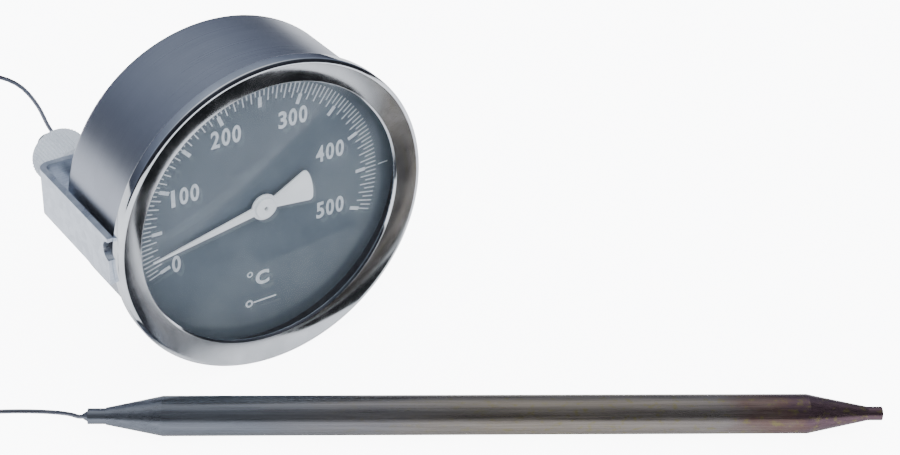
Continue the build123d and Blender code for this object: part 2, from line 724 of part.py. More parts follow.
def coil_parts():
    low = FLOOR + TIE_THICK
    middle = low + COIL_BUNDLE_H / 2
    section = Pos(COIL_MID_R, middle) * RectangleRounded(COIL_BUNDLE_W, COIL_BUNDLE_H, COIL_ROUND)
    coil = revolve(Plane.XZ * section, Axis.Z)
    save("capillary_coil", Pos(COIL_X, COIL_Y, 0) * coil)
    band = RectangleRounded(COIL_BUNDLE_W + 2 * TIE_THICK, COIL_BUNDLE_H + 2 * TIE_THICK,
                            COIL_ROUND + TIE_THICK)
    band -= RectangleRounded(COIL_BUNDLE_W, COIL_BUNDLE_H, COIL_ROUND)
    sweep_angle = math.degrees(TIE_WIDTH / COIL_MID_R)
    tie = revolve(Plane.XZ * Pos(COIL_MID_R, middle) * band, Axis.Z, sweep_angle)
    save("coil_tie", Pos(COIL_X, COIL_Y, 0) * Rot(0, 0, TIE_ANGLE) * tie)


def place_bulb(shape):
    """Lay a part turned about Z down along the bulb's heading, on the surface."""
    return Pos(BULB_X, BULB_Y, FLOOR + BULB_R) * Rot(0, 0, BULB_HEADING) * Rot(0, 90, 0) * shape


def bulb_parts():
    neck_end = BULB_COLLAR_L
    full_start = neck_end + BULB_CONE_L
    tip_start = BULB_LENGTH - BULB_TIP_L
    full_end = tip_start - BULB_TIP_CONE_L
    body = [
        (BULB_NECK_R - BULB_WALL, neck_end),
        (BULB_NECK_R, neck_end),
        (BULB_R, full_start),
        (BULB_R, full_end),
        (BULB_TIP_R, tip_start),
        (BULB_TIP_R - BULB_WALL, tip_start),
        (BULB_R - BULB_WALL, full_end),
        (BULB_R - BULB_WALL, full_start),
    ]
    save("bulb_body", place_bulb(spun(body)))
    collar = pipe(BULB_COLLAR_R, CAP_D / 2, 0, neck_end)
    save("bulb_collar", place_bulb(collar))
    solder = [(0, -BULB_SOLDER_L), (CAP_D / 2, -BULB_SOLDER_L), (BULB_SOLDER_R, 0), (0, 0)]
    save("bulb_solder", place_bulb(spun(solder)))
    tip = pipe(BULB_TIP_R, BULB_TIP_BORE, tip_start, BULB_LENGTH)
    save("bulb_tip", place_bulb(tip))


def capillary_parts():
    gland = [
        (CAP_D / 2, -CASE_DEPTH),
        (CAP_D / 2, -EXIT_Y),
        (GLAND_TIP_R, -EXIT_Y),
        (GLAND_R, -CASE_DEPTH - GLAND_FLANGE_H),
        (GLAND_R, -CASE_DEPTH),
    ]
    save_gauge("capillary_gland", Pos(0, CAP_Y, 0) * spun(gland))
    save_gauge("capillary_inlet", rod(CAP_D / 2, -EXIT_Y, -TUBE_MID - CAP_D, (0, CAP_Y)))
    cord_tube("capillary_rise", RISE_ROUTE)
    coil_parts()
    cord_tube("capillary_lead", LEAD_ROUTE)
    bulb_parts()


front_parts()
moving_parts()
movement_frame()
measuring_tube()
bracket_parts()
capillary_parts()
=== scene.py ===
import json
import math

import bpy
from mathutils import Matrix, Vector


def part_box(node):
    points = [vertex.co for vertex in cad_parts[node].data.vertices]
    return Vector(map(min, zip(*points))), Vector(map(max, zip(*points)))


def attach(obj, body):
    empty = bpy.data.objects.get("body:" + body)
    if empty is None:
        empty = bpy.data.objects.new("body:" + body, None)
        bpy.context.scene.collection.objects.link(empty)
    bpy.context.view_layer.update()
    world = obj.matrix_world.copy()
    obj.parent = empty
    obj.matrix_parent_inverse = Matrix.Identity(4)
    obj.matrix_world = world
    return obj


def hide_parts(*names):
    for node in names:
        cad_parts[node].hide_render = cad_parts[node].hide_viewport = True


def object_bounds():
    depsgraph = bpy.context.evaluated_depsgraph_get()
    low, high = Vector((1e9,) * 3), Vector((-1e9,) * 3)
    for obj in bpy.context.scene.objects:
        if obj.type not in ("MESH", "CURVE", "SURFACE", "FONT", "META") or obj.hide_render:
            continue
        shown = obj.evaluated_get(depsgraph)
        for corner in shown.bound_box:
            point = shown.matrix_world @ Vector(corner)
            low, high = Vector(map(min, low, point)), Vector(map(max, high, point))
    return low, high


bl_info = {
    "name": "Capillary dial thermometer",
    "version": (1, 0, 0),
    "blender": (4, 5, 0),
    "location": "3D View > Sidebar > Thermometer",
    "description": "Dresses a panel thermometer: dial print, knurled nuts, cut threads, wound capillary",
    "category": "Object",
}

# Lengths are in metres; a value in millimetres is multiplied by MM.
MM = 0.001
ARC_STEPS = 6

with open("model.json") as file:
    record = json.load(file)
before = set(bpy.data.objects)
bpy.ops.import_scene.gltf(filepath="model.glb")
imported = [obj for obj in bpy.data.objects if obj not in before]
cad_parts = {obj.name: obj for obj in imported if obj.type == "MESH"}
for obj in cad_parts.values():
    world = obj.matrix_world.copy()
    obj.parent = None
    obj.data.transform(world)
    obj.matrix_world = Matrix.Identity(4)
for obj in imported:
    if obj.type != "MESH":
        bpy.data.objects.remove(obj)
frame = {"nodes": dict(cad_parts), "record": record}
CAD_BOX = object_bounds()
NODES = frame["nodes"]
FLOOR_Z = CAD_BOX[0][2]

DIAL_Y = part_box("dial_plate")[0].y
PRINT_GAP = 0.002 * MM
FACE_TO_ROW = Matrix.Rotation(math.radians(90), 4, "X")
BULB_HEADING = math.radians(-31.8)
BULB_START = Vector((-39.85, -4.07, -27.65)) * MM
BULB_LENGTH = 143.2


def linear(hex_colour):
    """An sRGB hex colour as linear red, green, blue and alpha."""
    values = [int(hex_colour[at:at + 2], 16) / 255 for at in (1, 3, 5)]
    curve = [v / 12.92 if v <= 0.04045 else ((v + 0.055) / 1.055) ** 2.4 for v in values]
    return (*curve, 1.0)


def add(tree, kind, settings=None, inputs=None, stops=()):
    """Add a node with its settings, its inputs (values or other nodes' outputs) and its colour stops."""
    node = tree.nodes.new(kind)
    for key, value in (settings or {}).items():
        setattr(node, key, value)
    for key, value in (inputs or {}).items():
        if isinstance(value, bpy.types.NodeSocket):
            tree.links.new(value, node.inputs[key])
        else:
            node.inputs[key].default_value = value
    if stops:
        elements = node.color_ramp.elements
        while len(elements) < len(stops):
            elements.new(0.5)
        for element, (position, colour) in zip(elements, stops):
            element.position = position
            element.color = linear(colour)
    return node


# ---- materials

MATHS = "ShaderNodeMath"
NOISE = "ShaderNodeTexNoise"
COLOUR_RAMP = "ShaderNodeValToRGB"
GRAIN = {"Scale": 1.0, "Detail": 4.0, "Roughness": 0.55}
SOFT_GRAIN = {"Scale": 1.0, "Detail": 3.0, "Roughness": 0.55}
CLOUD = {"Scale": 1.0, "Detail": 2.0, "Roughness": 0.55}
# A noise pattern's usual lowest and highest value.
NOISE_LOW = 0.3
NOISE_HIGH = 0.7
# The sockets of a colour mix, which share their names with its other sorts.
MIX_A = 6
MIX_B = 7
MIX_RESULT = 2


def principled(name, **constants):
    """A new material and its tree, with constants on the shader's own sockets."""
    made = bpy.data.materials.new(name)
    made.use_nodes = True
    shader = made.node_tree.nodes["Principled BSDF"]
    for key, value in constants.items():
        shader.inputs[key.replace("_", " ")].default_value = value
    return made, made.node_tree


def place(tree, size_mm, turn=(0.0, 0.0, 0.0), shift=(0.0, 0.0, 0.0)):
    """Object coordinates, turned and shifted, then counted in pattern sizes of size_mm each way."""
    here = add(tree, "ShaderNodeTexCoord").outputs["Object"]
    moved = add(tree, "ShaderNodeMapping", inputs={"Vector": here, "Rotation": turn, "Location": shift})
    scale = [1 / (size * MM) for size in size_mm]
    counted = add(tree, "ShaderNodeMapping", inputs={"Vector": moved.outputs["Vector"], "Scale": scale})
    return counted.outputs["Vector"]


def round_axis(tree, radius_mm, depth_mm, turn_radians):
    """Coordinates that run round the dial's axis: radius, depth and turn, each in pattern sizes."""
    here = add(tree, "ShaderNodeTexCoord").outputs["Object"]
    parts = add(tree, "ShaderNodeSeparateXYZ", inputs={"Vector": here}).outputs
    flat = add(tree, "ShaderNodeCombineXYZ", inputs={"X": parts["X"], "Y": parts["Z"]})
    radius = add(tree, "ShaderNodeVectorMath", {"operation": "LENGTH"}, {0: flat.outputs["Vector"]})
    turn = add(tree, MATHS, {"operation": "ARCTAN2"}, {0: parts["Z"], 1: parts["X"]})
    spread = add(tree, "ShaderNodeCombineXYZ",
                 inputs={"X": radius.outputs["Value"], "Y": parts["Y"], "Z": turn.outputs["Value"]})
    scale = (1 / (radius_mm * MM), 1 / (depth_mm * MM), 1 / turn_radians)
    counted = add(tree, "ShaderNodeMapping", inputs={"Vector": spread.outputs["Vector"], "Scale": scale})
    return counted.outputs["Vector"]


def coat(tree, colour_by, stops, gloss_by, gloss, relief_by=None, relief=(0.0, 0.0)):
    """Join patterns to the shader: a colour from stops, gloss from low to high roughness, and relief.

    Without stops colour_by is the colour itself. Relief is a strength and a real height in millimetres.
    """
    shader = tree.nodes["Principled BSDF"]
    if stops:
        colour_by = add(tree, COLOUR_RAMP, None, {"Fac": colour_by}, stops).outputs["Color"]
    if colour_by is not None:
        tree.links.new(colour_by, shader.inputs["Base Color"])
    spread = add(tree, "ShaderNodeMapRange",
                 inputs={"Value": gloss_by, "From Min": NOISE_LOW, "From Max": NOISE_HIGH,
                         "To Min": gloss[0], "To Max": gloss[1]})
    tree.links.new(spread.outputs["Result"], shader.inputs["Roughness"])
    if relief_by is not None:
        raised = add(tree, "ShaderNodeBump",
                     inputs={"Height": relief_by, "Strength": relief[0], "Distance": relief[1] * MM})
        tree.links.new(raised.outputs["Normal"], shader.inputs["Normal"])


def worn_metal(name, dark, light, roughness, where, relief_mm, spread=0.06):
    """A metal whose colour, gloss and relief follow one grain; where(tree) gives its coordinates."""
    made, tree = principled(name, Metallic=1.0)
    grain = add(tree, NOISE, inputs={"Vector": where(tree), **GRAIN}).outputs["Fac"]
    clouds = add(tree, NOISE, inputs={"Vector": place(tree, (9.0, 9.0, 9.0)), **CLOUD}).outputs["Fac"]
    broad = add(tree, MATHS, {"operation": "MULTIPLY"}, {0: clouds, 1: 0.55})
    both = add(tree, MATHS, {"operation": "MULTIPLY_ADD"}, {0: grain, 1: 0.45, 2: broad.outputs["Value"]})
    coat(tree, both.outputs["Value"], [(0.35, dark), (0.65, light)],
         grain, (roughness - spread, roughness + spread), grain, (0.35, relief_mm))
    return made


def spun_steel():
    # Steel drawn and spun on a lathe, then dull nickel plated: soft blurred gloss with faint rings.
    # The tool's rings are about 0.1 mm apart, too fine to show, so they are drawn 0.3 to 0.5 mm apart.
    return worn_metal("spun_steel_dull_nickel_plated", "#a2a7b2", "#acb1bc", 0.3,
                      lambda tree: round_axis(tree, 0.5, 0.3, 2.2), 0.0015, spread=0.03)


def polished_steel():
    # Stainless steel turned and buffed: mirror gloss, with hair-fine rings left by the mop.
    # Real mop lines are a few hundredths of a millimetre wide; at 0.12 mm they just show.
    made, tree = principled("stainless_steel_buffed", Metallic=1.0)
    where = round_axis(tree, 0.12, 0.12, 3.0)
    rings = add(tree, NOISE, inputs={"Vector": where, **SOFT_GRAIN}).outputs["Fac"]
    smears = add(tree, NOISE, inputs={"Vector": place(tree, (6.0, 6.0, 6.0)), **SOFT_GRAIN}).outputs["Fac"]
    coat(tree, smears, [(0.35, "#cfd3d8"), (0.65, "#e2e5ea")], smears, (0.05, 0.11), rings, (0.15, 0.0015))
    return made


def galvanised():
    # Steel strip, bright zinc plated: pale bluish grey with small soft spangles and rolling lines.
    # The lines are finer than 0.1 mm on the real strip and are drawn 0.25 mm apart to show.
    made, tree = principled("steel_strip_zinc_plated", Metallic=1.0)
    spangle = add(tree, "ShaderNodeTexVoronoi",
                  inputs={"Vector": place(tree, (1.6, 1.6, 1.6)), "Scale": 1.0}).outputs["Color"]
    grey = add(tree, "ShaderNodeSeparateColor", inputs={"Color": spangle}).outputs["Red"]
    rolled = add(tree, NOISE, inputs={"Vector": place(tree, (4.0, 4.0, 0.25)), **GRAIN}).outputs["Fac"]
    mixed = add(tree, MATHS, {"operation": "MULTIPLY_ADD"}, {0: grey, 1: 0.35, 2: rolled})
    coat(tree, mixed.outputs["Value"], [(0.4, "#c4ccd8"), (0.85, "#dde4ee")],
         rolled, (0.26, 0.38), rolled, (0.4, 0.006))
    return made


def cast_zinc():
    # Die-cast zinc, tumbled: an even, matt, very pale grey.
    made, tree = principled("zinc_die_cast_tumbled", Metallic=0.35)
    grain = add(tree, NOISE, inputs={"Vector": place(tree, (0.35, 0.35, 0.35)), **GRAIN}).outputs["Fac"]
    coat(tree, grain, [(0.35, "#c6cfda"), (0.65, "#dbe2ea")], grain, (0.5, 0.62), grain, (0.4, 0.01))
    return made


def stoved_enamel(name, dark, light, roughness, gloss=0.5):
    # Baked paint: flat colour with a fine orange-peel skin.
    made, tree = principled(name, Specular_IOR_Level=gloss)
    cloud = add(tree, NOISE, inputs={"Vector": place(tree, (7.0, 7.0, 7.0)), **SOFT_GRAIN}).outputs["Fac"]
    peel = add(tree, NOISE, inputs={"Vector": place(tree, (0.5, 0.5, 0.5)), **CLOUD}).outputs["Fac"]
    coat(tree, cloud, [(0.35, dark), (0.65, light)], peel, (roughness - 0.05, roughness + 0.05),
         peel, (0.3, 0.003))
    return made


def screen_ink():
    # Screen-printed ink: slightly uneven cover, with a matt skin.
    made, tree = principled("ink_screen_printed")
    cover = add(tree, NOISE, inputs={"Vector": place(tree, (0.6, 0.6, 0.6)), **SOFT_GRAIN}).outputs["Fac"]
    coat(tree, cover, [(0.3, "#aeb8c1"), (0.6, "#c3cbd3")], cover, (0.55, 0.7))
    return made


def float_glass():
    # Clear float glass: almost no colour and a mirror surface.
    made, tree = principled("soda_lime_glass_float", Base_Color=linear("#f4f8f8"), IOR=1.5,
                            Transmission_Weight=1.0, Alpha=0.06)
    haze = add(tree, NOISE, inputs={"Vector": place(tree, (5.0, 5.0, 5.0)), **SOFT_GRAIN}).outputs["Fac"]
    coat(tree, None, None, haze, (0.0, 0.02))
    return made


def rubber():
    # Moulded black rubber: matt, with a fine skin.
    # The mould's own texture is under 0.1 mm and is drawn at 0.3 mm.
    made, tree = principled("nitrile_rubber_moulded")
    grain = add(tree, NOISE, inputs={"Vector": place(tree, (0.3, 0.3, 0.3)), **GRAIN}).outputs["Fac"]
    coat(tree, grain, [(0.3, "#141416"), (0.7, "#202022")], grain, (0.6, 0.75), grain, (0.4, 0.01))
    return made


def tinted_stainless():
    # Drawn stainless tube after heating: slate grey, then straw, brown and violet towards the tip.
    # Drawing lines are finer than 0.1 mm on the real tube and are drawn 0.35 mm apart to show.
    made, tree = principled("stainless_tube_drawn_heat_tinted", Metallic=0.9)
    turn = (0.0, 0.0, -BULB_HEADING)
    shift = -(Matrix.Rotation(-BULB_HEADING, 3, "Z") @ BULB_START)
    along = place(tree, (BULB_LENGTH, BULB_LENGTH, BULB_LENGTH), turn, shift)
    station = add(tree, "ShaderNodeSeparateXYZ", inputs={"Vector": along}).outputs["X"]
    clouds = add(tree, NOISE,
                 inputs={"Vector": place(tree, (14.0, 5.0, 5.0), turn, shift),
                         "Scale": 1.0, "Detail": 5.0, "Roughness": 0.6}).outputs["Fac"]
    drift = add(tree, MATHS, {"operation": "MULTIPLY_ADD"}, {0: clouds, 1: 0.22, 2: station})
    tint = add(tree, COLOUR_RAMP, None, {"Fac": drift.outputs["Value"]}, [
        (0.10, "#7b818c"), (0.30, "#7c818a"), (0.45, "#828184"), (0.60, "#8b847c"),
        (0.75, "#8d867f"), (0.90, "#8a8482"), (0.98, "#76605c"), (1.06, "#6a565f"),
    ])
    blots = add(tree, NOISE,
                inputs={"Vector": place(tree, (1.6, 1.1, 1.1), turn, shift),
                        "Scale": 1.0, "Detail": 5.0, "Roughness": 0.65}).outputs["Fac"]
    blotted = add(tree, "ShaderNodeMapRange", inputs={"Value": blots, "From Min": 0.54, "From Max": 0.66})
    hot = add(tree, "ShaderNodeMapRange",
              inputs={"Value": station, "From Min": 0.25, "From Max": 0.6, "To Max": 0.6})
    amount = add(tree, MATHS, {"operation": "MULTIPLY"},
                 {0: blotted.outputs["Result"], 1: hot.outputs["Result"]})
    straw = add(tree, "ShaderNodeMix", {"data_type": "RGBA"},
                {"Factor": amount.outputs["Value"], MIX_A: tint.outputs["Color"], MIX_B: linear("#8a8452")})
    drawn = add(tree, NOISE,
                inputs={"Vector": place(tree, (18.0, 0.35, 0.35), turn, shift), **GRAIN}).outputs["Fac"]
    streaks = add(tree, COLOUR_RAMP, None, {"Fac": drawn}, [(0.3, "#d2d2d2"), (0.7, "#ffffff")])
    mixed = add(tree, "ShaderNodeMix", {"data_type": "RGBA", "blend_type": "MULTIPLY"},
                {"Factor": 1.0, MIX_A: straw.outputs[MIX_RESULT], MIX_B: streaks.outputs["Color"]})
    coat(tree, mixed.outputs[MIX_RESULT], None, drawn, (0.24, 0.36), drawn, (0.35, 0.006))
    return made


def plain_metals():
    """The hidden works' metals and the capillary: name to material."""
    def fine(tree):
        return place(tree, (0.25, 0.25, 2.5))
    return {
        # Rolled brass sheet, stamped and barrel polished: warm, a little dull.
        "movement_brass": worn_metal("brass_sheet_stamped", "#a98a45", "#c6a55c", 0.3, fine, 0.003),
        # Silver steel, ground: neutral and fairly bright.
        "arbor_steel": worn_metal("silver_steel_ground", "#9a9ca0", "#b4b6ba", 0.25, fine, 0.002),
        # Phosphor bronze strip, rolled: reddish gold.
        "spring_bronze": worn_metal("phosphor_bronze_rolled", "#a8794a", "#bf8f5c", 0.28, fine, 0.002),
        # Steel tube, drawn and flattened: mid grey with lines along it.
        "tube_steel": worn_metal("steel_tube_drawn", "#8b8e93", "#a2a5aa", 0.35, fine, 0.003),
        # Stainless capillary, drawn: darker grey, half-matt.
        "capillary_steel": worn_metal("stainless_capillary_drawn", "#70737e", "#888b96", 0.36, fine, 0.003),
    }


def all_finishes():
    """Every record slot's material."""
    finishes = plain_metals()
    finishes.update({
        "case_steel": spun_steel(),
        "bezel_steel": polished_steel(),
        "gasket_rubber": rubber(),
        "window_glass": float_glass(),
        "spacer_enamel": stoved_enamel("steel_stoved_black_enamel", "#26272c", "#323339", 0.4),
        "dial_enamel": stoved_enamel("aluminium_stoved_slate_enamel", "#545f6a", "#5b6671", 0.68, 0.25),
        "pointer_enamel": stoved_enamel("aluminium_stoved_white_enamel", "#dde4ea", "#e8eef3", 0.5),
        "zinc_plate": galvanised(),
        "nut_alloy": cast_zinc(),
        "bulb_steel": tinted_stainless(),
    })
    return finishes


# ---- shapes

def mesh_object(name, points, faces):
    """A new mesh object in the scene."""
    mesh = bpy.data.meshes.new(name)
    mesh.from_pydata(points, [], faces)
    mesh.update()
    made = bpy.data.objects.new(name, mesh)
    bpy.context.scene.collection.objects.link(made)
    return made


def dress(made, slot_name, body, smooth=True, finish=None):
    """Give a piece its finish, taken from its record slot unless one is given, and its body."""
    made.data.materials.clear()
    made.data.materials.append(finish or FINISHES[slot_name])
    made.data.polygons.foreach_set("use_smooth", [smooth] * len(made.data.polygons))
    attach(made, body)


def ring_faces(rows, segments):
    """Faces round a closed tube of rows, each of which has the same number of points."""
    faces = []
    for row in range(rows):
        upper = (row + 1) % rows
        for step in range(segments):
            after = (step + 1) % segments
            faces.append((row * segments + step, upper * segments + step,
                          upper * segments + after, row * segments + after))
    return faces


def turned(rows, segments, centre, radius_at=None):
    """A closed shape turned about a line along Y: rows of (radius, y) that climb the outside."""
    points = []
    for radius, y in rows:
        for step in range(segments):
            angle = 2 * math.pi * step / segments
            r = radius_at(radius, y, angle) if radius_at else radius
            points.append((centre[0] + r * math.cos(angle), y, centre[1] + r * math.sin(angle)))
    return points, ring_faces(len(rows), segments)


def rounded(corners):
    """A closed profile's points, with an arc in place of each corner that has a radius."""
    points = []
    for at, (r, y, radius) in enumerate(corners):
        here = Vector((r, y))
        before = (Vector(corners[at - 1][:2]) - here).normalized()
        after = (Vector(corners[(at + 1) % len(corners)][:2]) - here).normalized()
        if radius == 0:
            points.append((r, y))
            continue
        half = before.angle(after) / 2
        centre = here + (before + after).normalized() * radius / math.sin(half)
        start = here + before * radius / math.tan(half) - centre
        end = here + after * radius / math.tan(half) - centre
        for step in range(ARC_STEPS + 1):
            spoke = start.lerp(end, step / ARC_STEPS).normalized() * radius
            points.append(tuple(centre + spoke))
    return points


def baked(made):
    """Turn an object's live modifiers or curve into a plain mesh at the origin."""
    bpy.context.view_layer.update()
    graph = bpy.context.evaluated_depsgraph_get()
    mesh = bpy.data.meshes.new_from_object(made.evaluated_get(graph))
    name = made.name
    bpy.data.objects.remove(made)
    mesh.name = name
    result = bpy.data.objects.new(name, mesh)
    bpy.context.scene.collection.objects.link(result)
    return result


def joined(name, parts):
    """Several meshes as one object."""
    points, faces = [], []
    for part_points, part_faces in parts:
        start = len(points)
        points += part_points
        faces += [tuple(start + at for at in face) for face in part_faces]
    return mesh_object(name, points, faces)


def new_tree(name, numbers):
    """A Geometry Nodes tree with named inputs: the tree, its inputs' identifiers and their sockets."""
    tree = bpy.data.node_groups.new(name, "GeometryNodeTree")
    tree.interface.new_socket(name="Geometry", in_out="OUTPUT", socket_type="NodeSocketGeometry")
    keys = {}
    for label, value in numbers.items():
        kind = "NodeSocketInt" if isinstance(value, int) else "NodeSocketFloat"
        made = tree.interface.new_socket(name=label, in_out="INPUT", socket_type=kind)
        made.default_value = value
        keys[label] = made.identifier
    keys["Finish"] = tree.interface.new_socket(name="Finish", in_out="INPUT",
                                               socket_type="NodeSocketMaterial").identifier
    return tree, keys, add(tree, "NodeGroupInput").outputs


def set_round(tree, given, shape, way):
    """Set a shape round the Z axis at even steps, make it real, give it its finish and end the tree."""
    dots = add(tree, "GeometryNodePoints", inputs={"Count": given["Count"]})
    index = add(tree, "GeometryNodeInputIndex").outputs["Index"]
    angle = add(tree, MATHS, {"operation": "MULTIPLY_ADD"}, {0: index, 1: given["Step"], 2: given["First"]})
    signed = add(tree, MATHS, {"operation": "MULTIPLY"}, {0: angle.outputs["Value"], 1: way})
    turn = add(tree, "ShaderNodeCombineXYZ", inputs={"Z": signed.outputs["Value"]})
    row = add(tree, "GeometryNodeInstanceOnPoints",
              inputs={"Points": dots.outputs[0], "Instance": shape, "Rotation": turn.outputs["Vector"]})
    real = add(tree, "GeometryNodeRealizeInstances", inputs={"Geometry": row.outputs["Instances"]})
    painted = add(tree, "GeometryNodeSetMaterial",
                  inputs={"Geometry": real.outputs["Geometry"], "Material": given["Finish"]})
    add(tree, "NodeGroupOutput", inputs={"Geometry": painted.outputs["Geometry"]})


def fan_tree():
    """Geometry Nodes: bars set clockwise round a circle, each pointing at its centre."""
    tree, keys, given = new_tree("fan_of_bars", {
        "Count": 11, "First": 0.0, "Step": 0.1, "Inner": 0.01, "Outer": 0.02,
        "Width": 0.001, "Thick": 0.00004, "Height": 0.0,
    })
    length = add(tree, MATHS, {"operation": "SUBTRACT"}, {0: given["Outer"], 1: given["Inner"]})
    both_ends = add(tree, MATHS, {"operation": "ADD"}, {0: given["Outer"], 1: given["Inner"]})
    middle = add(tree, MATHS, {"operation": "MULTIPLY"}, {0: both_ends.outputs["Value"], 1: 0.5})
    size = add(tree, "ShaderNodeCombineXYZ",
               inputs={"X": given["Width"], "Y": length.outputs["Value"], "Z": given["Thick"]})
    bar = add(tree, "GeometryNodeMeshCube", inputs={"Size": size.outputs["Vector"]})
    half_thick = add(tree, MATHS, {"operation": "MULTIPLY"}, {0: given["Thick"], 1: 0.5})
    lift = add(tree, MATHS, {"operation": "ADD"}, {0: given["Height"], 1: half_thick.outputs["Value"]})
    shift = add(tree, "ShaderNodeCombineXYZ",
                inputs={"Y": middle.outputs["Value"], "Z": lift.outputs["Value"]})
    moved = add(tree, "GeometryNodeTransform",
                inputs={"Geometry": bar.outputs["Mesh"], "Translation": shift.outputs["Vector"]})
    set_round(tree, given, moved.outputs["Geometry"], -1.0)
    return tree, keys


def loops_tree():
    """Geometry Nodes: closed wire loops, each an oblong with cut corners, side by side round an arc."""
    tree, keys, given = new_tree("binding_loops", {
        "Count": 5, "First": 0.0, "Step": 0.1, "Ring": 0.009, "Width": 0.005,
        "Tall": 0.004, "Round": 0.001, "Wire": 0.0002,
    })
    oblong = add(tree, "GeometryNodeCurvePrimitiveQuadrilateral",
                 inputs={"Width": given["Width"], "Height": given["Tall"]})
    soft = add(tree, "GeometryNodeFilletCurve",
               inputs={"Curve": oblong.outputs["Curve"], "Radius": given["Round"]})
    section = add(tree, "GeometryNodeCurvePrimitiveCircle",
                  inputs={"Resolution": 8, "Radius": given["Wire"]})
    wire = add(tree, "GeometryNodeCurveToMesh",
               inputs={"Curve": soft.outputs["Curve"], "Profile Curve": section.outputs["Curve"]})
    out = add(tree, "ShaderNodeCombineXYZ", inputs={"X": given["Ring"]})
    upright = add(tree, "GeometryNodeTransform",
                  inputs={"Geometry": wire.outputs["Mesh"], "Translation": out.outputs["Vector"],
                          "Rotation": (math.radians(90), 0.0, 0.0)})
    set_round(tree, given, upright.outputs["Geometry"], 1.0)
    return tree, keys


def grown(name, tree, keys, values):
    """The plain mesh that a tree makes from its inputs' values."""
    made = mesh_object(name, [], [])
    modifier = made.modifiers.new(tree.name, "NODES")
    modifier.node_group = tree
    for key, value in values.items():
        modifier[keys[key]] = value
    return baked(made)


# ---- what a user would change

def length(name, description, millimetres):
    """A length that a user can change, given in millimetres."""
    return bpy.props.FloatProperty(name=name, description=description, default=millimetres * MM,
                                   unit="LENGTH", precision=5)


class ScaleSizes(bpy.types.PropertyGroup):
    sweep: bpy.props.FloatProperty(name="Sweep", description="Angle from the first mark to the last",
                                   default=math.radians(220), unit="ROTATION")
    top_value: bpy.props.IntProperty(name="Top value", description="Last figure, in degrees Celsius",
                                     default=500)
    fine_step: bpy.props.IntProperty(name="Fine step", description="Degrees between the finest marks",
                                     default=5)
    inner: length("Inner radius", "Where the longest marks start", 20.26)
    middle: length("Middle radius", "Where the ten-degree marks start", 21.4)
    thick_end: length("Thick end", "Where the thick part of a fifty-degree mark ends", 22.3)
    fine: length("Fine radius", "Where the five-degree marks start", 22.5)
    outer: length("Outer radius", "Where every mark ends", 24.7)
    mark_width: length("Mark width", "Width of a fine mark", 0.24)
    bold_width: length("Bold width", "Width of a fifty-degree mark", 0.72)
    limit_start: length("Limit start", "Where the two range marks start", 25.3)
    limit_end: length("Limit end", "Where the two range marks end", 27.35)
    figure_height: length("Figure height", "Height of a figure", 3.5)
    figure_width: length("Figure width", "Width of one figure", 1.72)
    figure_gap: length("Figure gap", "Space between two figures", 0.42)
    ink: length("Ink height", "How far the print stands off the dial", 0.03)


class BezelSizes(bpy.types.PropertyGroup):
    wall: length("Wall", "Thickness of the sheet", 0.5)
    height: length("Height", "How far the shoulder stands in front of the case", 2.8)
    shoulder: length("Shoulder", "Width of the bevelled shoulder", 0.75)
    lip_radius: length("Lip radius", "Inside radius of the lip over the glass", 26.2)
    lip_height: length("Lip height", "How far the lip stands in front of the case", 1.75)
    lip_round: length("Lip edge", "Size of the lip's bevelled edge", 0.35)
    fold_gap: length("Fold gap", "Space between the case and the fold behind its flange", 0.08)
    overhang: length("Overhang", "How far the bezel stands out past the case", 1.25)


class NutSizes(bpy.types.PropertyGroup):
    ribs: bpy.props.IntProperty(name="Ribs", description="Ribs round the grip", default=48)
    rib_depth: length("Rib depth", "How deep the grooves of the grip are", 0.28)
    bevel: length("Bevel", "Bevel at both ends", 0.8)
    recess: length("Recess", "Depth of the ring turned into the outer end", 0.6)


class ThreadSizes(bpy.types.PropertyGroup):
    pitch: length("Pitch", "Distance from one thread crest to the next", 0.7)
    depth: length("Depth", "Height of a thread", 0.38)


class CapillarySizes(bpy.types.PropertyGroup):
    diameter: length("Diameter", "Outside diameter of the capillary", 0.8)
    real_length: length("Length", "Length from the case to the bulb", 1500)
    layers: bpy.props.IntProperty(name="Layers", description="Layers of turns in the coil", default=4)
    columns: bpy.props.IntProperty(name="Columns", description="Turns in each layer", default=6)
    spacing: length("Spacing", "Distance between two turns", 0.83)
    tie_wire: length("Tie wire", "Diameter of the wire that ties the coil", 0.35)


class StudioSettings(bpy.types.PropertyGroup):
    floor: bpy.props.FloatVectorProperty(name="Floor", description="Colour of the floor", size=4,
                                         subtype="COLOR", default=linear("#f7f8fa"))
    key_power: bpy.props.FloatProperty(name="Key light", description="Power of the large overhead light",
                                       default=5.0, unit="POWER")


# ---- capillary

# The same control points as the rigid tubes, in millimetres, with the rise led on to the coil.
RISE_POINTS = [
    (0.0, 24.6, -22.5),
    (0.0, 33.0, -22.5),
    (-2.5, 41.5, -19.5),
    (-9.5, 48.0, -13.5),
    (-17.0, 50.6, -7.0),
    (-20.3, 50.2, -1.3),
    (-22.0, 50.0, 4.5),
    (-26.0, 49.5, 11.0),
    (-33.5, 48.0, 15.5),
    (-43.0, 46.0, 14.5),
    (-51.5, 44.5, 7.5),
    (-57.0, 43.0, -3.5),
    (-60.0, 40.8, -13.0),
    (-61.6, 37.6, -21.0),
    (-63.2, 34.6, -26.4),
]
LEAD_POINTS = [
    (-68.5, 13.9, -30.85),
    (-60.0, 13.2, -30.85),
    (-53.0, 10.4, -30.85),
    (-47.5, 7.2, -30.85),
    (-43.9, 4.7, -30.85),
    (-42.1, 2.2, -30.2),
    (-41.2, -0.4, -29.2),
    (-40.8, -2.6, -28.5),
    (-40.19, -3.86, -27.65),
]
COIL_STEPS = 15
COIL_START = math.radians(60)
# The rigid coil's turns lie this far apart.
RIGID_SPACING = 0.8 * MM
TIE_TURNS = 7
TIE_SHARE = 0.62
TIE_ROUND = 1.35 * MM


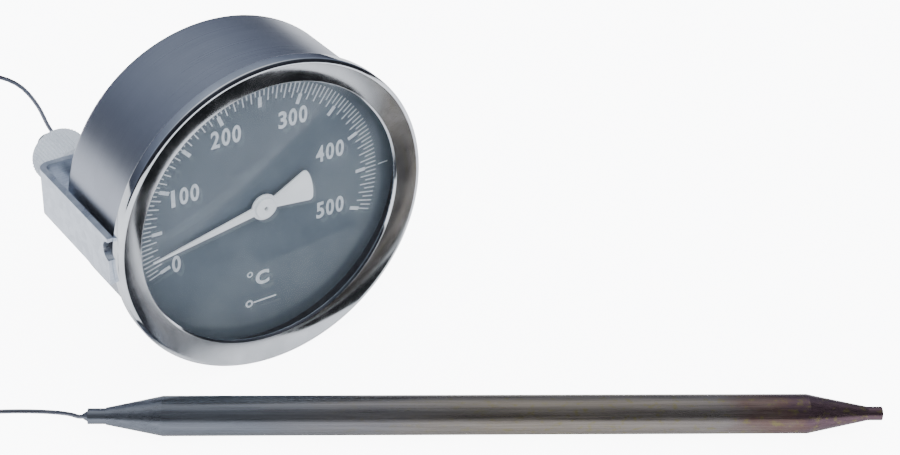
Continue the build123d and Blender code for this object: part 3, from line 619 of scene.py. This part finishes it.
def coil_centre():
    """The middle of the coil."""
    low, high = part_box("capillary_coil")
    return (low + high) / 2


def coil_points(sizes):
    """The coil's turns, wound from the top layer down, each layer back over the one below."""
    centre = coil_centre()
    low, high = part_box("capillary_coil")
    wall = (high.z - low.z) - (sizes.layers - 1) * sizes.spacing
    middle_r = (high.x - low.x) / 2 - wall / 2 - (sizes.columns - 1) * sizes.spacing / 2
    per_layer = sizes.columns * COIL_STEPS
    last = sizes.layers * per_layer - 2 * (sizes.layers - 1) - 1
    points = []
    for step in range(last + 1):
        layer = 0
        while layer + 1 < sizes.layers and step >= per_layer * (layer + 1) - 2 * layer - 1:
            layer += 1
        moves = sum(
            1 for turn in range(1, sizes.columns)
            if per_layer * layer + COIL_STEPS * turn - 2 * layer <= step
        )
        column = sizes.columns - 1 - moves if layer % 2 == 0 else moves
        radius = middle_r + (column - (sizes.columns - 1) / 2) * sizes.spacing
        angle = COIL_START + 2 * math.pi * step / COIL_STEPS
        z = centre.z + ((sizes.layers - 1) / 2 - layer) * sizes.spacing
        points.append((centre.x + radius * math.cos(angle), centre.y + radius * math.sin(angle), z))
    return points


class THERMOMETER_OT_capillary(bpy.types.Operator):
    """Lay the capillary as one smooth line, with its spare length in a tied coil"""
    bl_idname = "thermometer.capillary"
    bl_label = "Capillary"

    def execute(self, context):
        sizes = context.scene.thermometer_capillary
        route = [tuple(value * MM for value in point) for point in RISE_POINTS]
        route += coil_points(sizes)
        route += [tuple(value * MM for value in point) for point in LEAD_POINTS]
        curve = bpy.data.curves.new("capillary", "CURVE")
        curve.dimensions = "3D"
        spline = curve.splines.new("NURBS")
        spline.points.add(len(route) - 1)
        for point, place_at in zip(spline.points, route):
            point.co = (*place_at, 1.0)
        spline.order_u = 3
        spline.use_endpoint_u = True
        spline.resolution_u = 4
        curve.bevel_depth = sizes.diameter / 2
        curve.bevel_resolution = 3
        curve.use_fill_caps = True
        cord = bpy.data.objects.new("capillary", curve)
        context.scene.collection.objects.link(cord)
        curve.materials.append(FINISHES["capillary_steel"])
        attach(cord, "gauge")
        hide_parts("capillary_rise", "capillary_coil", "capillary_lead")
        tie = coil_binding(sizes)
        return {"FINISHED"}


def coil_binding(sizes):
    """Wire loops side by side round the bundle of turns."""
    low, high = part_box("capillary_coil")
    tie_low, tie_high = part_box("coil_tie")
    centre = coil_centre()
    wire = sizes.tie_wire
    bundle_tall = high.z - low.z
    bundle_wide = bundle_tall + (sizes.columns - sizes.layers) * RIGID_SPACING
    ring = (high.x - low.x) / 2 - bundle_wide / 2
    arc = (tie_high.y - tie_low.y) / ring
    first = math.atan2((tie_low.y + tie_high.y) / 2 - centre.y, (tie_low.x + tie_high.x) / 2 - centre.x)
    step = arc * TIE_SHARE / (TIE_TURNS - 1)
    result = grown("coil_binding", *loops_tree(), {
        "Count": TIE_TURNS, "First": first - step * (TIE_TURNS - 1) / 2, "Step": step, "Ring": ring,
        "Width": bundle_wide + wire, "Tall": bundle_tall + wire, "Round": TIE_ROUND,
        "Wire": wire / 2, "Finish": FINISHES["arbor_steel"],
    })
    result.data.transform(Matrix.Translation(centre))
    dress(result, "arbor_steel", "gauge")
    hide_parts("coil_tie")
    return result


# ---- dial print

def text_mesh(text, bold):
    """A letter as a flat mesh in the XY plane, as points and faces."""
    curve = bpy.data.curves.new("figure", "FONT")
    curve.body = text
    curve.offset = bold
    curve.extrude = 0.5
    curve.resolution_u = 6
    made = bpy.data.objects.new("figure", curve)
    bpy.context.scene.collection.objects.link(made)
    result = baked(made)
    points = [tuple(v.co) for v in result.data.vertices]
    faces = [tuple(p.vertices) for p in result.data.polygons]
    bpy.data.objects.remove(result)
    return points, faces


def fitted(part, centre, width, height, low, high):
    """Stretch a flat part to a width and a height about a centre, and lift it between two heights."""
    points, faces = part
    corners = [(min(p[k] for p in points), max(p[k] for p in points)) for k in range(3)]
    sizes = (width, height, high - low)
    middles = (*centre, (low + high) / 2)
    moved = [
        tuple(middles[k] + (p[k] - sum(corners[k]) / 2) * sizes[k] / max(corners[k][1] - corners[k][0], 1e-9)
              for k in range(3))
        for p in points
    ]
    return moved, faces


def ring_mesh(centre, outer, inner, low, high):
    """A flat washer as points and faces."""
    points = []
    rows = [(outer, low), (outer, high), (inner, high), (inner, low)]
    for radius, z in rows:
        for step in range(RING_SEGMENTS):
            angle = 2 * math.pi * step / RING_SEGMENTS
            points.append((centre[0] + radius * math.cos(angle), centre[1] + radius * math.sin(angle), z))
    return points, [face[::-1] for face in ring_faces(len(rows), RING_SEGMENTS)]


# Places on the dial, in millimetres from its middle.
FIGURE_PLACES = {
    "0": (-17.75, -6.77),
    "100": (-15.63, 6.92),
    "200": (-6.94, 16.31),
    "300": (6.72, 16.38),
    "400": (14.56, 6.94),
    "500": (14.61, -5.27),
}
UNIT_RING = (-2.8, -14.5)
UNIT_LETTER = (-0.15, -15.9)
SYMBOL_AT = (-0.5, -21.0)
UNIT_RING_RADII = (0.62 * MM, 0.36 * MM)
UNIT_LETTER_SIZE = (2.9 * MM, 3.1 * MM)
SYMBOL_RING_RADII = (0.8 * MM, 0.42 * MM)
SYMBOL_RING_LEFT = 2.6 * MM
SYMBOL_STEM = (-1.7 * MM, 3.2 * MM)
SYMBOL_STEM_HALF = 0.17 * MM
NARROW_ONE = 0.45
FIGURE_BOLD = 0.028
UNIT_BOLD = 0.04
RING_SEGMENTS = 32


def dial_words(sizes):
    """The figures, the unit and a plain thermometer symbol, as one mesh in the face frame."""
    low = -DIAL_Y + PRINT_GAP
    high = low + sizes.ink
    parts = []
    for word, (x, y) in FIGURE_PLACES.items():
        pitch = sizes.figure_width + sizes.figure_gap
        start = x * MM - pitch * (len(word) - 1) / 2
        for at, letter in enumerate(word):
            narrow = NARROW_ONE if letter == "1" else 1.0
            parts.append(fitted(text_mesh(letter, FIGURE_BOLD), (start + pitch * at, y * MM),
                                sizes.figure_width * narrow, sizes.figure_height, low, high))
    parts.append(ring_mesh([v * MM for v in UNIT_RING], *UNIT_RING_RADII, low, high))
    parts.append(fitted(text_mesh("C", UNIT_BOLD), [v * MM for v in UNIT_LETTER],
                        *UNIT_LETTER_SIZE, low, high))
    x, y = (v * MM for v in SYMBOL_AT)
    parts.append(ring_mesh((x - SYMBOL_RING_LEFT, y), *SYMBOL_RING_RADII, low, high))
    bar_x = (x + SYMBOL_STEM[0], x + SYMBOL_STEM[1])
    half = SYMBOL_STEM_HALF
    corners = [(px, py, z) for z in (low, high) for px, py in (
        (bar_x[0], y - half), (bar_x[1], y - half), (bar_x[1], y + half), (bar_x[0], y + half))]
    sides = [(at, (at + 1) % 4, (at + 1) % 4 + 4, at + 4) for at in range(4)]
    parts.append((corners, [(3, 2, 1, 0), (4, 5, 6, 7), *sides]))
    return joined("dial_figures", parts)


class THERMOMETER_OT_dial(bpy.types.Operator):
    """Print the scale, its figures and the unit on the dial"""
    bl_idname = "thermometer.dial"
    bl_label = "Dial print"

    def execute(self, context):
        sizes = context.scene.thermometer_scale
        steps = sizes.top_value // sizes.fine_step
        first = -sizes.sweep / 2
        base = {"First": first, "Thick": sizes.ink, "Height": -DIAL_Y + PRINT_GAP,
                "Finish": INK, "Width": sizes.mark_width}
        per_limit = sizes.sweep / 10
        sets = {
            "fine_marks": {"Count": steps + 1, "Step": sizes.sweep / steps,
                           "Inner": sizes.fine, "Outer": sizes.outer},
            "ten_marks": {"Count": steps // 2 + 1, "Step": 2 * sizes.sweep / steps,
                          "Inner": sizes.middle, "Outer": sizes.fine},
            "bold_marks": {"Count": 11, "Step": per_limit, "Inner": sizes.inner,
                           "Outer": sizes.thick_end, "Width": sizes.bold_width, "Thick": 1.4 * sizes.ink},
            "limit_marks": {"Count": 2, "First": first + per_limit, "Step": 8 * per_limit,
                            "Inner": sizes.limit_start, "Outer": sizes.limit_end},
        }
        for name, values in sets.items():
            marks = grown(name, *fan_tree(), {**base, **values})
            marks.data.transform(FACE_TO_ROW)
            dress(marks, "dial_enamel", "gauge", smooth=False, finish=INK)
        words = dial_words(sizes)
        words.data.transform(FACE_TO_ROW)
        dress(words, "dial_enamel", "gauge", smooth=False, finish=INK)
        return {"FINISHED"}


# ---- bezel, nuts and studs

BEZEL_SEGMENTS = 360
NUT_BORE = 2.05 * MM
# A nut's outer end: a ring is turned into it, which leaves a boss round the bore.
RECESS_TOP_R = 3.6 * MM
RECESS_FOOT_R = 3.5 * MM
BOSS_FOOT_R = 2.6 * MM
BOSS_TOP_R = 2.5 * MM
BOSS_SUNK = 0.05 * MM
# A grip's ribs reach their full height this many bevels from each end.
RIB_START = 1.35
STUD_R = 2.0 * MM
STUD_CORE = 0.02 * MM
STUD_SEGMENTS = 36
FOOT_HEIGHT = 0.8 * MM
FOOT_EDGE = 0.15 * MM
LEAD_IN = 0.5 * MM
THREAD_START = 1.2 * MM
THREAD_ROWS = 6
# A thread's flat crest and the slope of its flanks.
CREST_LEVEL = 1.35
FLANK_SLOPE = 3.105


class THERMOMETER_OT_bezel(bpy.types.Operator):
    """Spin the polished bezel"""
    bl_idname = "thermometer.bezel"
    bl_label = "Bezel"

    def execute(self, context):
        sizes = context.scene.thermometer_bezel
        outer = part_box("bezel_ring")[1].x
        fold = outer - sizes.overhang + sizes.fold_gap
        lip_top = sizes.lip_radius + sizes.lip_round
        slope = (sizes.height - sizes.lip_height) / (outer - sizes.shoulder - lip_top)
        drop = sizes.wall * math.hypot(1, slope)

        def behind(radius):
            return -(sizes.lip_height + slope * (radius - lip_top) - drop)

        inside = outer - sizes.wall
        corners = [
            (fold, 0.0, 0.0),
            (fold, -sizes.wall, 0.0),
            (inside, -sizes.wall, 0.0),
            (inside, behind(inside), 0.0),
            (sizes.lip_radius, behind(sizes.lip_radius), 0.0),
            (sizes.lip_radius, sizes.lip_round - sizes.lip_height, 0.15 * MM),
            (lip_top, -sizes.lip_height, 0.25 * MM),
            (outer - sizes.shoulder, -sizes.height, 0.6 * MM),
            (outer, sizes.shoulder / 2 - sizes.height, 0.45 * MM),
            (outer, 0.0, 0.3 * MM),
        ]
        made = mesh_object("spun_bezel", *turned(rounded(corners), BEZEL_SEGMENTS, (0.0, 0.0)))
        dress(made, "bezel_steel", "gauge")
        made.data.set_sharp_from_angle(angle=math.radians(35))
        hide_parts("bezel_ring")
        return {"FINISHED"}


class THERMOMETER_OT_nuts(bpy.types.Operator):
    """Turn the two knurled thumb nuts"""
    bl_idname = "thermometer.nuts"
    bl_label = "Thumb nuts"

    def execute(self, context):
        sizes = context.scene.thermometer_nuts
        segments = sizes.ribs * 4
        for node in ("left_nut", "right_nut"):
            low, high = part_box(node)
            centre = ((low.x + high.x) / 2, (low.z + high.z) / 2)
            outer = (high.x - low.x) / 2
            bevel, recess = sizes.bevel, sizes.recess
            grip = (low.y + bevel, high.y - bevel)

            def ribbed(radius, y, angle):
                if radius < outer - 0.01 * MM or not grip[0] < y < grip[1]:
                    return radius
                phase = (angle * sizes.ribs / (2 * math.pi)) % 1.0
                return radius - sizes.rib_depth * abs(2 * phase - 1)

            edge = outer - sizes.rib_depth
            rows = [
                (NUT_BORE, low.y), (edge - bevel, low.y), (edge, low.y + bevel * 0.8),
                (edge, low.y + bevel), (outer, low.y + bevel * RIB_START),
                (outer, high.y - bevel * RIB_START),
                (edge, high.y - bevel), (edge, high.y - bevel * 0.8),
                (edge - bevel * 0.8, high.y - 0.08 * MM), (edge - bevel, high.y),
                (RECESS_TOP_R, high.y), (RECESS_FOOT_R, high.y - recess), (BOSS_FOOT_R, high.y - recess),
                (BOSS_TOP_R, high.y - BOSS_SUNK), (NUT_BORE, high.y - BOSS_SUNK),
            ]
            name = node.replace("nut", "thumb_nut")
            made = mesh_object(name, *turned(rows, segments, centre, ribbed))
            dress(made, "nut_alloy", node, smooth=False)
            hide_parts(node)
        return {"FINISHED"}


class THERMOMETER_OT_studs(bpy.types.Operator):
    """Cut the threads of the two studs"""
    bl_idname = "thermometer.studs"
    bl_label = "Studs"

    def execute(self, context):
        sizes = context.scene.thermometer_thread
        low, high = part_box("bracket_studs")
        foot_r = (high.z - low.z) / 2
        foot_y = low.y + FOOT_HEIGHT
        centre_x = high.x - foot_r
        thread_from = foot_y + THREAD_START

        def threaded(radius, y, angle):
            if y <= thread_from or radius < STUD_R - sizes.depth:
                return radius
            phase = (y / sizes.pitch - angle / (2 * math.pi)) % 1.0
            crest = min(1.0, max(0.0, CREST_LEVEL - FLANK_SLOPE * abs(phase - 0.5)))
            return radius - sizes.depth * (1 - crest)

        count = int((high.y - LEAD_IN - thread_from) / sizes.pitch * THREAD_ROWS)
        rows = [(STUD_CORE, low.y), (foot_r - FOOT_EDGE, low.y), (foot_r, low.y + FOOT_EDGE),
                (foot_r, foot_y - FOOT_EDGE), (foot_r - FOOT_EDGE, foot_y), (STUD_R, foot_y)]
        rows += [(STUD_R, thread_from + sizes.pitch * row / THREAD_ROWS) for row in range(count + 1)]
        rows += [(STUD_R - sizes.depth - 0.1 * MM, high.y), (STUD_CORE, high.y)]
        parts = [turned(rows, STUD_SEGMENTS, (side * centre_x, 0.0), threaded) for side in (-1, 1)]
        made = joined("threaded_studs", parts)
        dress(made, "zinc_plate", "gauge")
        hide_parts("bracket_studs")
        return {"FINISHED"}


# ---- finishes of the pieces that keep their engineering shape

class THERMOMETER_OT_finishes(bpy.types.Operator):
    """Give every carried-over piece its material"""
    bl_idname = "thermometer.finishes"
    bl_label = "Finishes"

    def execute(self, context):
        for entry in frame["record"]["subparts"]:
            node = NODES[entry["node"]]
            node.data.materials.clear()
            node.data.materials.append(FINISHES[entry["material_slot"]])
        return {"FINISHED"}


# ---- stage

CAMERA_AT = Vector((-140.8, -247.0, 179.5)) * MM
CAMERA_TURN = (-36.329, 32.685, 2.634)
CAMERA_LENS = 73.77
FLOOR_HALF = 3.0
FLOOR_GLOW = 9.0
EVEN_LIGHT = 1.5
ROOM_LIGHT = 1.3
KEY_AT = (-0.25, -0.35, 0.75)
KEY_SIZE = 0.9
# The corners on the floor, in millimetres, of the black card: painted shade standing in for the gauge's
# shadow on the floor, which only polished metal reflects.
SHADE_CARD_CORNERS = [(13, -24.5), (38, -27), (38, -38), (33, -43), (25, -41), (13, -31)]


def camera_matrix():
    """The camera's place, from its bearing, its height angle and its roll."""
    bearing, height, roll = (math.radians(value) for value in CAMERA_TURN)
    back = Vector((math.sin(bearing) * math.cos(height), -math.cos(bearing) * math.cos(height),
                   math.sin(height)))
    right = Vector((math.cos(bearing), math.sin(bearing), 0.0))
    up = back.cross(right)
    rolled_right = right * math.cos(roll) + up * math.sin(roll)
    rolled_up = up * math.cos(roll) - right * math.sin(roll)
    turn = Matrix((rolled_right, rolled_up, back)).transposed()
    return Matrix.Translation(CAMERA_AT) @ turn.to_4x4()


def area_light(name, at, aim, size, power):
    """A square area light that points at a place and does not show in polished metal."""
    light = bpy.data.lights.new(name, "AREA")
    light.shape = "SQUARE"
    light.size = size
    light.energy = power
    made = bpy.data.objects.new(name, light)
    direction = Vector(aim) - Vector(at)
    made.matrix_world = Matrix.Translation(at) @ direction.to_track_quat("-Z", "Y").to_matrix().to_4x4()
    made.visible_glossy = False
    bpy.context.scene.collection.objects.link(made)


def soft_world():
    """Even white light all round, while polished metal shows a room: dark in front, grey behind."""
    world = bpy.data.worlds.new("soft_room")
    bpy.context.scene.world = world
    world.use_nodes = True
    tree = world.node_tree
    even = tree.nodes["Background"]
    even.inputs["Color"].default_value = linear("#fbfcff")
    even.inputs["Strength"].default_value = EVEN_LIGHT
    here = add(tree, "ShaderNodeTexCoord").outputs["Generated"]
    parts = add(tree, "ShaderNodeSeparateXYZ", inputs={"Vector": here}).outputs
    front = add(tree, COLOUR_RAMP, None, {"Fac": parts["Z"]}, [
        (0.0, "#1b1c22"), (0.5, "#2c2e35"), (0.85, "#4b4f58"), (0.97, "#9a9ea6")])
    behind = add(tree, COLOUR_RAMP, None, {"Fac": parts["Z"]}, [
        (0.0, "#3f4350"), (0.35, "#6b7283"), (0.7, "#9aa2b0"), (0.95, "#ffffff")])
    side = add(tree, "ShaderNodeMapRange", inputs={"Value": parts["Y"], "From Min": -0.25, "From Max": 0.25})
    room = add(tree, "ShaderNodeMix", {"data_type": "RGBA"},
               {"Factor": side.outputs["Result"], MIX_A: front.outputs["Color"],
                MIX_B: behind.outputs["Color"]})
    seen = add(tree, "ShaderNodeBackground",
               inputs={"Color": room.outputs[MIX_RESULT], "Strength": ROOM_LIGHT})
    path = add(tree, "ShaderNodeLightPath").outputs
    both = add(tree, "ShaderNodeMixShader",
               inputs={0: path["Is Glossy Ray"], 1: even.outputs["Background"],
                       2: seen.outputs["Background"]})
    tree.links.new(both.outputs["Shader"], tree.nodes["World Output"].inputs["Surface"])


def shade_reflection_card(name, corners):
    """A flat black card just above the floor that only polished metal shows: a painted shadow of the gauge
    on the floor, seen only as a painted reflection.
    """
    points = [(x * MM, y * MM, FLOOR_Z + 0.1 * MM) for x, y in corners]
    card = mesh_object(name, points, [range(len(corners))])
    # Its black is painted shade, standing in for the gauge's own shadow on the floor as the bezel reflects
    # it.
    shade_black, _ = principled("painted_shade_black", Base_Color=linear("#101114"), Roughness=1.0)
    card.data.materials.append(shade_black)
    card.visible_camera = False
    card.visible_diffuse = False
    card.visible_shadow = False
    card.visible_transmission = False


class THERMOMETER_OT_stage(bpy.types.Operator):
    """Set the floor, the lights and the camera"""
    bl_idname = "thermometer.stage"
    bl_label = "Stage"

    def execute(self, context):
        settings = context.scene.thermometer_studio
        corners = [(-FLOOR_HALF, -FLOOR_HALF), (FLOOR_HALF, -FLOOR_HALF),
                   (FLOOR_HALF, FLOOR_HALF), (-FLOOR_HALF, FLOOR_HALF)]
        floor = mesh_object("floor", [(x, y, FLOOR_Z) for x, y in corners], [(0, 1, 2, 3)])
        paper, tree = principled("backdrop_paper", Roughness=0.9, Base_Color=settings.floor,
                                 Specular_IOR_Level=0.1, Emission_Color=settings.floor)
        # The paper glows for the camera only, so it shows white and casts no light.
        seen = add(tree, "ShaderNodeLightPath").outputs["Is Camera Ray"]
        glow = add(tree, MATHS, {"operation": "MULTIPLY"}, {0: seen, 1: FLOOR_GLOW})
        tree.links.new(glow.outputs["Value"], tree.nodes["Principled BSDF"].inputs["Emission Strength"])
        floor.data.materials.append(paper)
        # Painted shade: a black card that only polished metal reflects.
        shade_reflection_card("card", SHADE_CARD_CORNERS)
        area_light("key", KEY_AT, (0.0, 0.0, 0.0), KEY_SIZE, settings.key_power)
        soft_world()
        camera = bpy.data.cameras.new("camera")
        camera.sensor_width = 36.0
        camera.lens = CAMERA_LENS
        camera.clip_start = 0.01
        made = bpy.data.objects.new("camera", camera)
        made.matrix_world = camera_matrix()
        context.scene.collection.objects.link(made)
        context.scene.camera = made
        return {"FINISHED"}


class THERMOMETER_PT_panel(bpy.types.Panel):
    """The operators and the sizes that a user would change"""
    bl_idname = "THERMOMETER_PT_panel"
    bl_label = "Thermometer"
    bl_space_type = "VIEW_3D"
    bl_region_type = "UI"
    bl_category = "Thermometer"

    def draw(self, context):
        for operator in OPERATORS:
            self.layout.operator(operator.bl_idname)
        for name in SETTINGS:
            settings = getattr(context.scene, name)
            box = self.layout.box()
            for key in settings.__annotations__:
                box.prop(settings, key)


SETTINGS = {
    "thermometer_scale": ScaleSizes,
    "thermometer_bezel": BezelSizes,
    "thermometer_nuts": NutSizes,
    "thermometer_thread": ThreadSizes,
    "thermometer_capillary": CapillarySizes,
    "thermometer_studio": StudioSettings,
}
OPERATORS = [
    THERMOMETER_OT_stage,
    THERMOMETER_OT_capillary,
    THERMOMETER_OT_finishes,
    THERMOMETER_OT_dial,
    THERMOMETER_OT_bezel,
    THERMOMETER_OT_nuts,
    THERMOMETER_OT_studs,
]


def register():
    for group in SETTINGS.values():
        bpy.utils.register_class(group)
    for operator in OPERATORS + [THERMOMETER_PT_panel]:
        bpy.utils.register_class(operator)
    for name, group in SETTINGS.items():
        setattr(bpy.types.Scene, name, bpy.props.PointerProperty(type=group))


def unregister():
    for name in SETTINGS:
        delattr(bpy.types.Scene, name)
    for made in [THERMOMETER_PT_panel] + OPERATORS[::-1] + list(SETTINGS.values())[::-1]:
        bpy.utils.unregister_class(made)


def main():
    register()
    for operator in OPERATORS:
        group, name = operator.bl_idname.split(".")
        getattr(getattr(bpy.ops, group), name)()


FINISHES = all_finishes()
INK = screen_ink()

if __name__ == "__main__":
    main()
